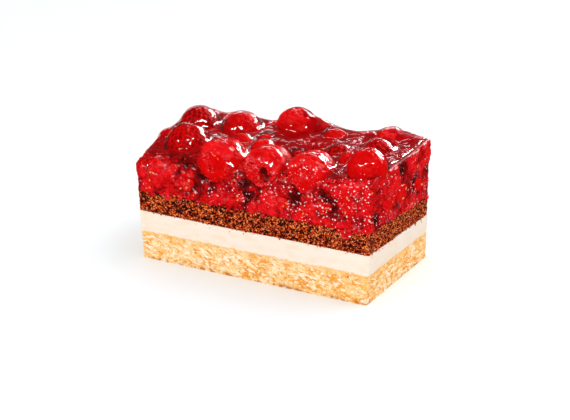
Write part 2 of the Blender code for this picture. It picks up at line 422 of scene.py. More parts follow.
def lay_stops(ramp, stops):
    """Sets the stops of a colour ramp."""
    while len(ramp.elements) < len(stops):
        ramp.elements.new(0.5)
    for element, (position, colour) in zip(ramp.elements, stops):
        element.position = position
        element.color = colour


base_bm = layer(BASE_CELL, lambda x, y: 0.0, lambda x, y: seam(x, y, BASE_TOP), base_relief, CORNER_ROUND)
base_finish, wire = new_finish("base_crumb", {"Specular IOR Level": 0.25})
hollow = wire.mark("hollow")
fine = wire.grain(0.75 * MM, 3.0, 0.65)
flakes = wire.grain(1.3 * MM, 3.0, 0.6, (1.4, 1.4, 0.8), BASE_CRACK_DIP)
torn = wire.grain(2.6 * MM, 2.0, 0.5, (2.1, 2.1, 0.75), BASE_CRACK_DIP)
slits = wire.grain(1.7 * MM, 2.0, 0.6, (1.8, 1.8, 0.6), BASE_CRACK_DIP)
in_places = wire.grain(5 * MM, 2.0).between(0.40, 0.54)
# Thin crack and slit lines, painted darker orange: painted shade in small cracks of the crumb.
crack = (1 - wire.sum("ABSOLUTE", torn - 0.5).between(0.012, 0.055)) * in_places
slit = (1 - wire.sum("ABSOLUTE", slits - 0.5).between(0.010, 0.060)) * (1 - 0.7 * in_places)
# A pale band along one side of each painted crack: a painted highlight on its lip.
painted_lip_highlight = (torn - 0.5).between(0.045, 0.070) * (1 - (torn - 0.5).between(0.085, 0.135)) * in_places
broad = wire.grain(8 * MM, 2.0)
height = wire.along("Z")
# Painted shade: the crumb is darker and oranger the deeper its cracks and pits lie, by the hollow mark. It
# is also a little darker towards the +X end; the flakes and grain are the crumb's own tone.
depth = (
    0.09 * wire.along("X").between(0.0, 45 * MM)
    + 0.9 * hollow
    + 0.9 * (flakes - 0.5)
    + 1.4 * (fine - 0.5)
    + 0.3 * (broad - 0.5)
    + 0.06
)
crumb = depth.ramp(
    (0.02, dye(255, 241, 214)),
    (0.24, dye(254, 222, 168)),
    (0.44, dye(251, 198, 122)),
    (0.64, dye(247, 168, 62)),
    (0.95, dye(228, 130, 32)),
)
# Painted highlight along the cracks' lips.
crumb = (0.9 * painted_lip_highlight).blend(crumb, dye(255, 244, 222))
# Painted shade in the slits and cracks.
crumb = (0.55 * slit).blend(crumb, dye(246, 172, 66))
crumb = (0.9 * crack).blend(crumb, dye(238, 146, 30))
low_down = 1 - height.between(0.2 * MM, 1.9 * MM)
toasted = (low_down * wire.grain(2 * MM, 3.0).between(0.46, 0.64)).blend(crumb, dye(196, 112, 38))
under_cream = 0.35 * height.between(8.2 * MM, 10.4 * MM)
toasted = under_cream.blend(toasted, dye(248, 184, 104))
bump = (fine + flakes).bump(0.5, 0.3 * MM)
coat(base_finish, base_color=toasted, roughness=0.75 + 0.2 * fine, normal=bump)
finish_piece("cake_base", base_bm, base_finish, "base_crumb", "base_cake")

# Cream filling: whipped cream set with gelatine, spread level on the base and cut clean through, so its
# faces are smooth, with the knife's faint drag marks and a few small air holes.
CREAM_TOP = (18.6 * MM, 0.030)
CREAM_CELL = 0.55 * MM
CREAM_DRAG = 6.0 * MM
CREAM_HOLES = 6.5 * MM
# How far each layer reaches down into the one below it.
LAYER_LAP = 0.1 * MM


def cream_relief(x, y, z, w):
    """The cream's cut faces: nearly flat, with drag marks and air holes, and drawn in along both seams."""
    spot = Vector((x, y, 3.2 * z))
    drag = noise.fractal(spot / CREAM_DRAG, 0.8, 2.1, 3)
    hole = max(0.0, 1 - cells_at(spot, CREAM_HOLES)[0] / 0.10)
    edge = max(0.0, 1 - 14 * min(w, 1 - w))
    depth = min(1.0, max(0.0, 0.4 + 0.4 * drag))
    return (0.12 + 0.2 * depth + 0.35 * hole + 0.1 * edge) * MM, max(0.5 * hole, 1 - 5.2 * w)


cream_bm = layer(
    CREAM_CELL,
    lambda x, y: seam(x, y, BASE_TOP) - LAYER_LAP,
    lambda x, y: seam(x, y, CREAM_TOP),
    cream_relief,
    CORNER_ROUND,
)
cream_finish, wire = new_finish(
    "set_cream",
    {
        "Specular IOR Level": 0.3,
        "Subsurface Weight": 0.25,
        "Subsurface Radius": (1.0, 0.75, 0.5),
        "Subsurface Scale": 1.5 * MM,
    },
)
smear = wire.grain(4 * MM, 3.0, 0.5, (1.6, 1.6, 0.5))
fine = wire.grain(0.7 * MM, 3.0)
ivory = smear.between(0.40, 0.80).blend(dye(249, 231, 215), dye(249, 222, 195))
# Tan near the lower seam, where crumbs of the base lie, and in part in the air holes, where the tan is
# painted shade.
crumbs = wire.mark("hollow") + 1.6 * (fine - 0.5) + 1.4 * (wire.grain(2.6 * MM, 3.0) - 0.5)
ivory = (0.9 * crumbs.between(0.52, 0.78)).blend(ivory, dye(250, 200, 124))
ivory = fine.between(0.62, 0.80).blend(ivory, dye(248, 222, 192))
bump = (smear + 0.5 * fine).bump(0.25, 0.2 * MM)
coat(cream_finish, base_color=ivory, roughness=0.42 + 0.15 * fine, normal=bump)
finish_piece("cream_layer", cream_bm, cream_finish, "cream", "cream_filling")

# Chocolate sponge: a thin dark sponge, open and springy, whose cut faces are all small pores with browner
# walls between them.
SPONGE_TOP = (27.1 * MM, 0.040)
SPONGE_CELL = 0.34 * MM
SPONGE_PORES = 1.1 * MM
SPONGE_HOLES = 3.3 * MM
SPONGE_GRIT = 1.2 * MM
SPONGE_SET_IN = 0.2 * MM
SPONGE_DEEPEST = 0.9 * MM
SPONGE_CORNER_ROUND = 1.0 * MM


def sponge_relief(x, y, z, w):
    """The sponge's cut faces: a little set in all over, with small pores and a few larger holes."""
    spot = Vector((x, y, 1.15 * z))
    small = max(0.0, 1 - cells_at(spot, SPONGE_PORES)[0] / 0.45)
    large = max(0.0, 1 - cells_at(spot + Vector((9, 5, 2)), SPONGE_HOLES)[0] / 0.26)
    rough = noise.fractal(spot / SPONGE_GRIT, 0.6, 2.0, 3)
    depth = min(1.0, max(0.0, 0.30 + 0.60 * small + 0.55 * large - 0.42 * rough))
    return SPONGE_SET_IN + SPONGE_DEEPEST * depth, depth


sponge_bm = layer(
    SPONGE_CELL,
    lambda x, y: seam(x, y, CREAM_TOP) - LAYER_LAP,
    lambda x, y: seam(x, y, SPONGE_TOP),
    sponge_relief,
    SPONGE_CORNER_ROUND,
)
sponge_finish, wire = new_finish("chocolate_crumb", {"Specular IOR Level": 0.06})
hollow = wire.mark("hollow")
fine = wire.grain(0.52 * MM, 3.0, 0.65)
broad = wire.grain(3.5 * MM, 2.0)
# Painted shade: the sponge darkens to near-black deep in its pores and holes, by the hollow mark, and in
# the fine grain's small dark pores. The broad patches are its own tone.
depth = 1.1 * hollow + 3.3 * (fine - 0.5) + 0.4 * (broad - 0.5) + 0.09
crumb = depth.ramp(
    (0.0, dye(252, 160, 92)),
    (0.10, dye(236, 98, 32)),
    (0.28, dye(198, 60, 16)),
    (0.46, dye(128, 34, 11)),
    (0.64, dye(54, 12, 6)),
    (0.86, dye(18, 4, 3)),
)
specks = (1 - wire.cells(1.3 * MM).between(0.12, 0.22)) * wire.grain(3 * MM, 2.0).between(0.40, 0.50)
crumb = (0.6 * specks).blend(crumb, dye(255, 206, 168))
bump = fine.bump(0.8, 0.35 * MM)
coat(sponge_finish, base_color=crumb, roughness=0.6 + 0.3 * fine, normal=bump)
finish_piece("sponge_layer", sponge_bm, sponge_finish, "chocolate_crumb", "chocolate_sponge")

# Jelly: red raspberry jelly with broken fruit in it, poured over the berries when they already lie on the
# sponge. It has drawn back round each whole berry, and its cut faces show the broken ones.
# Each raspberry that the jelly lies round: its middle and radius in millimetres, as the CAD model in
# model.glb has them.
RASPBERRIES = (
    (-43.9, -18.5, 34.2, 6.1),
    (-28.5, -20.5, 33.3, 4.5),
    (-15.4, -16.5, 41.3, 10.3),
    (-4.2, -20.8, 32.0, 3.6),
    (4.5, -17.0, 43.0, 8.9),
    (14.0, -20.5, 32.5, 4.2),
    (23.0, -17.0, 43.8, 8.8),
    (41.2, -20.6, 37.0, 5.7),
    (47.0, 1.0, 34.0, 5.6),
    (46.0, 15.0, 33.5, 5.6),
    (47.5, 13.0, 44.5, 4.1),
    (44.7, -14.0, 48.9, 7.8),
    (-35.5, -9.5, 43.8, 8.8),
    (-41.5, 8.0, 45.3, 8.2),
    (-23.5, 10.5, 44.6, 8.3),
    (-10.0, 7.0, 42.0, 5.0),
    (-2.7, 18.0, 47.6, 7.7),
    (7.5, 1.5, 39.3, 5.8),
    (14.5, 17.0, 42.9, 6.8),
    (24.0, 3.5, 43.8, 5.5),
    (38.5, 6.5, 46.3, 6.5),
    (36.2, 21.0, 44.5, 7.5),
    (-34.5, 20.5, 42.6, 5.3),
    (-44.8, 21.1, 43.5, 4.3),
    (-14.8, 21.0, 42.9, 4.6),
    (-48.4, -3.4, 41.5, 5.1),
    (-5.0, -4.1, 43.9, 5.3),
    (-16.0, -0.7, 44.4, 4.3),
    (32.0, -4.9, 45.5, 4.5),
    (-9.3, 20.8, 34.2, 5.1),
    (-25.5, 20.8, 34.2, 5.1),
    (23.7, 20.8, 34.8, 5.0),
    (3.7, 20.7, 35.5, 5.2),
    (-44.9, 21.2, 33.4, 4.5),
    (14.8, 21.8, 32.5, 3.7),
    (-48.4, 12.0, 33.1, 4.3),
    (-48.7, 3.1, 33.3, 3.8),
    (-48.8, -9.0, 33.9, 3.7),
    (31.5, -21.7, 34.3, 3.7),
    (23.0, -22.2, 31.9, 3.0),
    (48.0, -10.3, 33.9, 5.0),
)
berries = [(Vector(row[:3]) * MM, row[3] * MM) for row in RASPBERRIES]
for middle, radius in berries:
    middle.z = min(middle.z, cad_high[2] - radius)
JELLY_LEVEL = 45.6 * MM
JELLY_BACK_RISE = 1.3 * MM
JELLY_END_RISE = 2.8 * MM
JELLY_WAVE = 0.8 * MM
JELLY_WAVE_PITCH = 21.0 * MM
JELLY_WAVE_LEVEL = 222
# Where the jelly's top departs from that, in millimetres: by how much, how far that reaches, and x and y.
JELLY_SWELLS = (
    (-4.5, 15.0, -49.0, -24.7),  # the slumped corner
    (-5.0, 7.5, 10.0, -5.0),  # the hollow
    (2.2, 10.0, 47.0, -25.0),  # the corner nearest the camera
    (1.8, 9.0, 10.0, 23.0),  # banked up against the berries at the back
)
JELLY_CELL = 0.38 * MM
JELLY_CORNER_ROUND = 1.5 * MM
RIM_DRIP = 0.9 * MM
RIM_DRIP_PITCH = 4.0 * MM
DRAWN_BACK = 0.5 * MM
DRAWN_WIDTH = 1.0 * MM
DRAWN_RADIUS = 8.0 * MM
DRAWN_PATCHES = 7.0 * MM
SET_BACK = 0.3 * MM
FRONT_ROUND = 3.2 * MM
SIDE_ROUND = 1.5 * MM
LUMPY_RIM = 6.0 * MM
LUMPY_RIM_PITCH = 9.0 * MM
FRUIT_PIECES = 6.0 * MM
FRUIT_DRUPELETS = 2.1 * MM
FRUIT_SHAKE = 1.4
FRUIT_SHAKE_PITCH = 4.0 * MM
FRUIT_TATTERS = 1.2 * MM
SLACK_PARTS = 6.0 * MM
# Where the jelly between the fruit is clear and deep: places on the cut faces, and how far each reaches.
DEEP_PLACES = (
    (-27.0, -24.2, 43.5, 4.2),
    (-20.5, -24.2, 38.5, 3.6),
    (-25.5, -24.2, 33.5, 3.0),
    (-2.0, -24.2, 38.0, 3.2),
    (-0.5, -24.2, 34.0, 3.0),
    (19.0, -24.2, 35.5, 3.2),
    (33.5, -24.2, 38.5, 3.6),
    (35.0, -24.2, 34.0, 2.6),
    (51.0, 12.0, 36.0, 3.2),
    (51.0, 1.0, 45.0, 3.8),
    (50.5, -19.0, 31.5, 2.8),
    (33.0, 24.2, 37.0, 3.6),
    (22.0, 24.2, 41.0, 3.8),
    (2.0, 24.2, 36.0, 4.0),
    (-17.0, 24.2, 37.0, 3.6),
    (-31.0, 24.2, 39.0, 4.0),
    (-51.0, 3.0, 38.0, 4.0),
    (-51.0, 14.0, 41.0, 3.2),
    (-50.5, -12.0, 35.0, 3.6),
)
deep_places = [(Vector(row[:3]) * MM, row[3] * MM) for row in DEEP_PLACES]
# Where broken fruit swells out of the cut faces: places, and how far each reaches.
SWOLLEN_PLACES = (
    (44.5, -24.0, 43.5, 5.0),
    (38.0, -24.0, 42.0, 4.2),
    (46.5, -24.0, 37.0, 3.6),
    (-45.0, -24.0, 37.5, 6.0),
    (-36.0, -24.0, 34.5, 4.0),
    (9.0, -24.0, 32.5, 4.0),
    (28.0, -24.0, 32.0, 3.6),
    (51.5, -5.0, 41.0, 4.6),
    (51.5, 8.0, 42.0, 4.0),
    (51.5, 20.0, 44.5, 4.4),
    (40.0, 24.0, 36.0, 4.6),
    (12.0, 24.0, 43.0, 4.4),
    (-22.0, 24.0, 41.0, 4.0),
    (-38.0, 24.0, 35.0, 4.4),
    (-51.5, 10.0, 40.0, 4.6),
    (-51.5, -14.0, 38.0, 4.2),
)
swollen_places = [(Vector(row[:3]) * MM, row[3] * MM) for row in SWOLLEN_PLACES]


def jelly_height(x, y):
    """The jelly's free surface: a slow wave, a rise to the back and the shown end, and the swells."""
    along = x / (LENGTH / 2)
    level = JELLY_LEVEL + JELLY_BACK_RISE * y / (WIDTH / 2) + JELLY_END_RISE * max(0.0, along) ** 2
    place = Vector((x / JELLY_WAVE_PITCH, y / JELLY_WAVE_PITCH, JELLY_WAVE_LEVEL))
    level += JELLY_WAVE * noise.noise(place)
    for height, reach, at_x, at_y in JELLY_SWELLS:
        off = math.hypot(x / MM - at_x, y / MM - at_y) / reach
        level += height * MM * math.exp(-off * off)
    return level


def drawn_back(spot):
    """How far the jelly has drawn back near the skins of the berries: most round a large one."""
    most = 0.0
    for middle, radius in berries:
        gap = max(0.0, (spot - middle).length - radius) / DRAWN_WIDTH
        if gap < 3:
            most = max(most, math.exp(-gap * gap) * min(1.0, (radius / DRAWN_RADIUS) ** 2))
    patchy = noise.noise(spot / DRAWN_PATCHES + Vector((5, 2, 0)))
    return most * min(1.0, max(0.0, 0.5 + 1.6 * patchy))


def rounded_rim(x, y, z, high, on_end, on_side):
    """Draws a point in round the jelly's upper rim, widest along the front. Returns it and the way out."""
    spot, outward = [x, y, z], Vector((0, 0, 0))
    near = 0.0
    for axis, reach, walled in ((0, half_length(z), on_end), (1, half_width(z), on_side)):
        side = math.copysign(1, spot[axis])
        radius = FRONT_ROUND if axis == 1 and side < 0 else SIDE_ROUND
        across = radius - (reach - abs(spot[axis]))
        up = radius - (high - spot[2])
        if across > 0 and up > 0:
            length = math.hypot(across, up)
            if length > radius:
                spot[axis] = side * (reach - radius + across * radius / length)
                spot[2] = high - radius + up * radius / length
            outward[axis] = side * across / length
            outward.z += up / length
            near = max(near, across / radius)
        elif walled:
            outward[axis] = side
            near = 1.0
    if outward.length > 0:
        outward.normalize()
    return Vector(spot), outward, near


def lumpy_rim(spot):
    """1 where broken fruit stands out of the top along the front, 0 further back."""
    wander = 1.0 + 0.6 * noise.noise(spot / LUMPY_RIM_PITCH + Vector((0, 4, 0)))
    return math.exp(-(((spot.y + half_width(spot.z)) / (LUMPY_RIM * wander)) ** 2))


# Where noise_vector takes its three shifts from. Without a seed it takes them from the clock.
FRUIT_SEED = 1
noise.seed_set(FRUIT_SEED)


def jelly_relief(spot):
    """The jelly's cut faces: fruit in it, broken small. How far in a spot lies, and how hollow it is."""
    shaken = spot + noise.noise_vector(spot / FRUIT_SHAKE_PITCH) * FRUIT_SHAKE * MM
    piece = cells_at(shaken, FRUIT_PIECES)
    crease = max(0.0, 1 - (piece[1] - piece[0]) / 0.22)
    drupelet = cells_at(shaken + Vector((3, 1, 5)) * MM, FRUIT_DRUPELETS)
    crown = 1 - min(1.0, drupelet[0] / 0.66) ** 2
    deep = max(math.exp(-(((spot - middle).length / reach) ** 2)) for middle, reach in deep_places)
    swollen = max(math.exp(-(((spot - middle).length / reach) ** 4)) for middle, reach in swollen_places)
    slack = min(1.0, max(0.0, noise.noise(spot / SLACK_PARTS + Vector((0, 0, 9))) * 1.3 + 0.1))
    tatter = noise.fractal(spot / FRUIT_TATTERS, 0.6, 2.0, 3)
    drawn = drawn_back(spot)
    inward = 0.1 + 0.2 * crease + 0.4 * (1 - crown) + 0.8 * deep + 0.4 * slack
    inward = inward - 0.2 * tatter - 0.8 * swollen
    # The hollow mark darkens the colour as painted shade: in creases, between drupelets, in the slack and
    # deep places and round the berries, and less where fruit swells out.
    hollow = 0.22 * crease + 0.20 * (1 - crown) + 0.60 * deep + 0.34 * slack
    hollow = hollow + 0.22 * drawn - 0.2 * swollen
    return max(-0.6, inward) * MM + DRAWN_BACK * drawn, min(1.0, max(0.0, hollow))


def inside(point):
    """Keeps a point from standing out past the slice's outermost points."""
    for axis in (0, 1):
        point[axis] = max(cad_low[axis], min(cad_high[axis], point[axis]))
    return point


def jelly_block():
    """The jelly, from a grid for its top whose rim is drawn down into walls."""
    bm = bmesh.new()
    columns, rows = round(LENGTH / JELLY_CELL), round(WIDTH / JELLY_CELL)
    bmesh.ops.create_grid(bm, x_segments=columns, y_segments=rows, size=0.5)
    rim = [edge for edge in bm.edges if edge.is_boundary]
    levels = round((JELLY_LEVEL - SPONGE_TOP[0]) / JELLY_CELL)
    for level in range(levels):
        grown = bmesh.ops.extrude_edge_only(bm, edges=rim)["geom"]
        rim = [item for item in grown if isinstance(item, bmesh.types.BMEdge)]
        lowered = [item for item in grown if isinstance(item, bmesh.types.BMVert)]
        bmesh.ops.translate(bm, verts=lowered, vec=(0, 0, -1 / levels))
    bmesh.ops.contextual_create(bm, geom=rim)
    bmesh.ops.translate(bm, verts=bm.verts[:], vec=(0, 0, 1))
    bmesh.ops.recalc_face_normals(bm, faces=bm.faces[:])
    return bm


jelly_bm = jelly_block()
mark = jelly_bm.verts.layers.float.new("hollow")
cut_mark = jelly_bm.verts.layers.float.new("cut")
for point in jelly_bm.verts:
    u, v, w = point.co
    on_end, on_side = abs(u) > ON_WALL, abs(v) > ON_WALL
    x, y = u * LENGTH, v * WIDTH
    drip = RIM_DRIP * max(0.0, noise.noise(Vector((x, y, 0)) / RIM_DRIP_PITCH) + 0.2)
    low = seam(x, y, SPONGE_TOP) - (drip if on_end or on_side else 0)
    high = jelly_height(x, y) - SET_BACK
    z = low + w * (high - low)
    x, y = 2 * u * half_length(z), 2 * v * half_width(z)
    if on_end or on_side:
        x, y = rounded(x, y, half_length(z), half_width(z), JELLY_CORNER_ROUND)
    spot, outward, near = rounded_rim(x, y, z, high, on_end, on_side)
    on_top = lumpy_rim(spot)
    if near or on_top > 0.02:
        inward, hollow = jelly_relief(spot)
        if near < on_top:
            near, outward = on_top, (outward + Vector((0, 0, 1))).normalized()
        point.co = inside(spot - outward * inward * near * min(1.0, 0.25 + 3 * w))
        point[mark] = hollow * near + 0.5 * (1 - near)
        point[cut_mark] = near
    else:
        point.co = spot
        # On the top, the jelly is painted darker near the berries: painted shade.
        point[mark] = 0.5 + 0.5 * drawn_back(spot)
fruit_spots = []


def keep_spots(bm, hollow_mark, cut_mark):
    """Keeps the places where fruit stands out on a piece's cut faces, in a set order, for the seeds."""
    bm.normal_update()
    spots = [
        (point.co.copy(), point.normal.copy())
        for point in bm.verts
        if point[cut_mark] > 0.9 and point[hollow_mark] < 0.35
    ]
    fruit_spots.append(sorted(spots, key=lambda row: [round(part / MM, 3) for part in row[0]]))


keep_spots(jelly_bm, mark, cut_mark)
in_order(jelly_bm)
smooth(jelly_bm)
jelly_finish, wire = new_finish(
    "raspberry_jelly",
    {
        "Specular IOR Level": 0.5,
        "Subsurface Weight": 0.08,
        "Subsurface Radius": (1.0, 0.08, 0.05),
        "Subsurface Scale": 1.5 * MM,
    },
)


def bubbles_and_painted_glints(wire):
    """1 in the tiny white dots on the cut fruit, thicker in some places: painted glints, and tiny pale air
    pockets caught in it.
    """
    size = wire.cells(1.15 * MM, output="Color", shake=0.5 * MM)
    dots = 1 - (wire.cells(1.15 * MM, shake=0.5 * MM) * (1.7 - 1.2 * size)).between(0.14, 0.25)
    along = wire.along("X")
    thick = 0.24 * along.between(-10 * MM, 40 * MM) - 0.24 * along.between(49.5 * MM, 51 * MM) - 0.08
    return dots * (wire.grain(7 * MM, 2.0) + thick).between(0.43, 0.57)


def fibres(wire):
    """1 along the thin pale fibres and skins of fruit that the knife has torn."""
    return 1 - wire.sum("ABSOLUTE", wire.grain(1.5 * MM, 2.0) - 0.5).between(0.0, 0.03)


hollow = wire.mark("hollow")
broad = wire.grain(4 * MM, 3.0)
fine = wire.grain(0.8 * MM, 3.0, 0.65)
wet = wire.grain(1.8 * MM, 2.0, 0.5)
# Painted shade: the flesh darkens with the hollow mark. The grain gives the fruit's own lighter and darker
# tones.
depth = hollow + 0.9 * (broad - 0.5) + 1.4 * (fine - 0.5) + 0.08
flesh = depth.ramp(
    (0.0, dye(234, 28, 32)),
    (0.16, dye(222, 15, 20)),
    (0.36, dye(192, 8, 13)),
    (0.60, dye(132, 5, 10)),
    (0.90, dye(66, 2, 6)),
)
pink = wire.grain(3.5 * MM, 3.0).between(0.52, 0.70) * (1 - hollow.between(0.2, 0.5))
flesh = (0.4 * pink).blend(flesh, dye(236, 28, 58))
torn = wire.mark("cut") * wire.grain(6 * MM, 2.0).between(0.54, 0.66)
flesh = (0.6 * fibres(wire) * torn).blend(flesh, dye(252, 130, 140))
# White dots on the cut faces: painted glints, and tiny air pockets.
flesh = (0.9 * bubbles_and_painted_glints(wire) * wire.mark("cut")).blend(flesh, dye(255, 248, 248))
bump = wet.bump(0.6, 0.5 * MM)
dullness = 0.80 - 0.73 * wire.mark("cut").between(0.1, 0.7) + 0.12 * broad
coat(jelly_finish, base_color=flesh, roughness=dullness, normal=bump)
finish_piece("jelly_block", jelly_bm, jelly_finish, "jelly", "raspberry_jelly")

# Raspberries: whole ripe fruit, each a thimble of small juicy drupelets round a hollow, set on the sponge
# by hand. The knife and the tin have pressed those that meet a cut face.
DRUPELET_PITCH = 2.25 * MM
DRUPELET_RISE = 0.7 * MM
LARGE_BERRY = 6.2 * MM
GLAZE_ROOM = 0.1 * MM
DENT = 0.6 * MM
PRESSED_DENT = 1.1 * MM
PRESSED_PROUD = 0.9 * MM
PRESSED_FULLNESS = 2.6
PRESSED_TAPER = 0.16
CUT_REACH = 2.0 * MM
TORN_RELIEF = 1.0 * MM
TORN_PARTS = 5.0 * MM
TORN_TATTERS = 1.7 * MM
OPEN_BERRY = 4
OPEN_HOLLOW = 2.8 * MM
OPEN_TIP = math.radians(86)
OPEN_SPIN = 0.33
GOLDEN_ANGLE = math.pi * (3 - math.sqrt(5))
# How dark the ripest berries are, by their place in the row from 0. The others are dark by 0.25 at most.
DARK_BERRIES = {12: 0.8, 13: 0.9, 14: 0.45, 17: 0.9, 18: 0.3, 19: 0.9, 20: 0.8}
DARK_BERRIES.update({23: 0.5, 25: 0.6, 30: 0.7, 33: 0.5})

berry_finish, wire = new_finish(
    "raspberry_skin",
    {
        "Specular IOR Level": 0.13,
        "Subsurface Weight": 0.2,
        "Subsurface Radius": (1.0, 0.08, 0.05),
        "Subsurface Scale": 1.6 * MM,
    },
)
hollow = wire.mark("hollow")
ripeness = wire.mark("ripeness")
fine = wire.grain(0.6 * MM, 3.0)
broad = wire.grain(6 * MM, 2.0)
wet = wire.grain(1.6 * MM, 2.0)
red = (0.5 * ripeness + 0.6 * broad + 1.0 * (wet - 0.5) - 0.05).blend(dye(240, 27, 27), dye(204, 8, 13))
darkness = wire.mark("darkness")
red = (darkness * (1 - 0.8 * hollow.between(0.12, 0.5))).blend(red, dye(118, 5, 11))
# Painted shade: the skin darkens in the grooves between drupelets, in the open berry's hollow and in torn
# hollows, by the hollow mark.
red = (hollow.between(0.45, 1.5) * (1 - 0.8 * darkness)).blend(red, dye(84, 2, 6))
red = (0.75 * fibres(wire) * wire.mark("torn")).blend(red, dye(254, 150, 158))
# White dots on the cut faces: painted glints, and tiny air pockets.
red = (0.9 * bubbles_and_painted_glints(wire) * wire.mark("cut").between(0.0, 0.6)).blend(red, dye(255, 248, 248))
bump = wet.bump(0.5, 0.3 * MM)
coat(berry_finish, base_color=red, roughness=0.05 + 0.10 * fine, normal=bump)


def pressed(point, proud):
    """Holds a point back where it would stand out of the cut faces by more than the proud measure."""
    reach = (half_length(point.z), half_width(point.z))
    for axis in (0, 1):
        over = abs(point[axis]) - reach[axis]
        if over > 0:
            point[axis] = math.copysign(reach[axis] + proud * (1 - math.exp(-over / proud)), point[axis])
    return inside(point)


def pressed_sides(middle, radius):
    """The axes along which a berry is pressed, because it would stand well out of a cut face."""
    sides = ((0, half_length(middle.z)), (1, half_width(middle.z)))
    return [axis for axis, reach in sides if abs(middle[axis]) + 0.93 * radius > reach]


def fullness(sides, direction):
    """How much fuller than a ball a berry is in a direction, where it is pressed broad on a cut face."""
    along = math.sqrt(sum(direction[axis] ** 2 for axis in range(3) if axis not in sides))
    parts = [along] + [abs(direction[axis]) for axis in sides]
    return sum(part**PRESSED_FULLNESS for part in parts) ** (-1 / PRESSED_FULLNESS)


def drupelets(radius, draw):
    """The directions of a berry's drupelets from its middle, each with its own width and height."""
    count = round(4 * math.pi * radius**2 / (0.866 * DRUPELET_PITCH**2))
    wobble = 0.16 * DRUPELET_PITCH / radius
    rows = []
    for number in range(count):
        height = 1 - (2 * number + 1) / count
        ring = math.sqrt(1 - height * height)
        angle = GOLDEN_ANGLE * number
        direction = Vector((ring * math.cos(angle), ring * math.sin(angle), height))
        direction += Vector([draw.uniform(-wobble, wobble) for _ in range(3)])
        size = (draw.uniform(0.9, 1.15), draw.uniform(0.8, 1.0))
        rows.append((direction.normalized(), *size, draw.random()))
    return rows


def berry_turn(number):
    """How a berry is turned and squeezed: each its own way, the open one with its hollow to the front."""
    draw = random.Random(100 + number)
    squeeze = Matrix.Diagonal((draw.uniform(0.93, 1.0), draw.uniform(0.93, 1.0), 1.0, 1.0))
    if number == OPEN_BERRY:
        return Matrix.Rotation(OPEN_SPIN, 4, "Z") @ Matrix.Rotation(OPEN_TIP, 4, "X") @ squeeze
    tip = Matrix.Rotation(draw.uniform(0, math.pi), 4, "Y")
    spin = Matrix.Rotation(draw.uniform(0, math.tau), 4, "Z")
    return spin @ tip @ squeeze


def raspberry(number, middle, radius):
    """A berry: a ball raised into drupelets, pressed and torn where it meets a cut face."""
    draw = random.Random(500 + number)
    rows = drupelets(radius, draw)
    tree = kdtree.KDTree(len(rows))
    for index, row in enumerate(rows):
        tree.insert(row[0], index)
    tree.balance()
    reach = 0.60 * DRUPELET_PITCH / radius
    bm = bmesh.new()
    bmesh.ops.create_icosphere(bm, subdivisions=6 if radius > LARGE_BERRY else 5, radius=1)
    hollow_mark = bm.verts.layers.float.new("hollow")
    ripe_mark = bm.verts.layers.float.new("ripeness")
    dark_mark = bm.verts.layers.float.new("darkness")
    cut_mark = bm.verts.layers.float.new("cut")
    torn_mark = bm.verts.layers.float.new("torn")
    darkness = DARK_BERRIES.get(number, 0.25 * draw.random())
    rise = DRUPELET_RISE * (0.65 + 0.35 * min(1.0, darkness / 0.5))
    turn = berry_turn(number)
    peak = radius - GLAZE_ROOM
    sides = pressed_sides(middle, radius)
    taper = PRESSED_TAPER if sides else 0.0
    room = (half_length(middle.z) - abs(middle.x), half_width(middle.z) - abs(middle.y))
    squeezed = [(axis, min(1.0, (room[axis] + PRESSED_PROUD) / radius)) for axis in sides]
    dent_depth = PRESSED_DENT if sides else DENT
    tears = 0.9 if number == OPEN_BERRY else 0.0
    for point in bm.verts:
        direction = point.co.normalized()
        crown, ripe = 0.0, 0.5
        for _, index, gap in tree.find_n(direction, 3):
            _, width, height, ripeness_here = rows[index]
            share = gap / (reach * width)
            dome = height * math.sqrt(max(0.0, 1 - share * share))
            if dome > crown:
                crown, ripe = dome, ripeness_here
        outward = (turn.to_3x3() @ direction).normalized()
        dent = dent_depth * max(0.0, noise.noise(1.8 * direction + Vector((number, 0, 0))) + 0.2)
        base = direction * (peak * fullness(sides, outward) - dent)
        sunk = 0.0
        if number == OPEN_BERRY:
            ragged = 1 + 0.9 * noise.noise(4.1 * direction + Vector((2, 0, 5)))
            off_axis = math.hypot(direction.x * 1.4, direction.y) / (0.34 * ragged)
            sunk = math.sqrt(max(0.0, 1 - off_axis * off_axis)) if direction.z > 0 else 0.0
            base.z -= OPEN_HOLLOW * sunk
        crown = min(1.0, crown)
        base = turn @ base
        for axis, share in squeezed:
            if base[axis] * middle[axis] > 0:
                base[axis] *= share
        base.x *= 1 + taper * base.z / radius
        base.y *= 1 + taper * base.z / radius
        base = pressed(base + middle, PRESSED_PROUD)
        to_face = min(half_length(base.z) - abs(base.x), half_width(base.z) - abs(base.y))
        cut = min(1.0, max(0.0, 1 - to_face / CUT_REACH))
        torn = cut * min(1.0, max(0.0, tears + 1.8 * noise.noise(base / TORN_PARTS + Vector((0, 8, 0)))))
        tatter = torn * noise.fractal(base / TORN_TATTERS, 0.7, 2.0, 3)
        base += outward * TORN_RELIEF * tatter
        point.co = inside(base - outward * rise * (1 - crown) * (1 - 0.6 * sunk) * (1 - 0.5 * cut))
        point[cut_mark] = cut
        point[torn_mark] = torn
        # The hollow mark, for the painted shade in the grooves, the open hollow and torn hollows.
        groove = (1 - crown) * (1 - 0.4 * cut) * rise / DRUPELET_RISE
        point[hollow_mark] = min(1.6, groove + 1.5 * sunk + 1.2 * max(0.0, -tatter))
        point[ripe_mark] = ripe
        point[dark_mark] = darkness
    bmesh.ops.recalc_face_normals(bm, faces=bm.faces[:])
    keep_spots(bm, hollow_mark, cut_mark)
    smooth(bm)
    name = f"raspberry_{number + 1:02d}"
    finish_piece("berry_" + name[-2:], bm, berry_finish, "raspberry", name)


for number, (middle, radius) in enumerate(berries):
    raspberry(number, middle, radius)

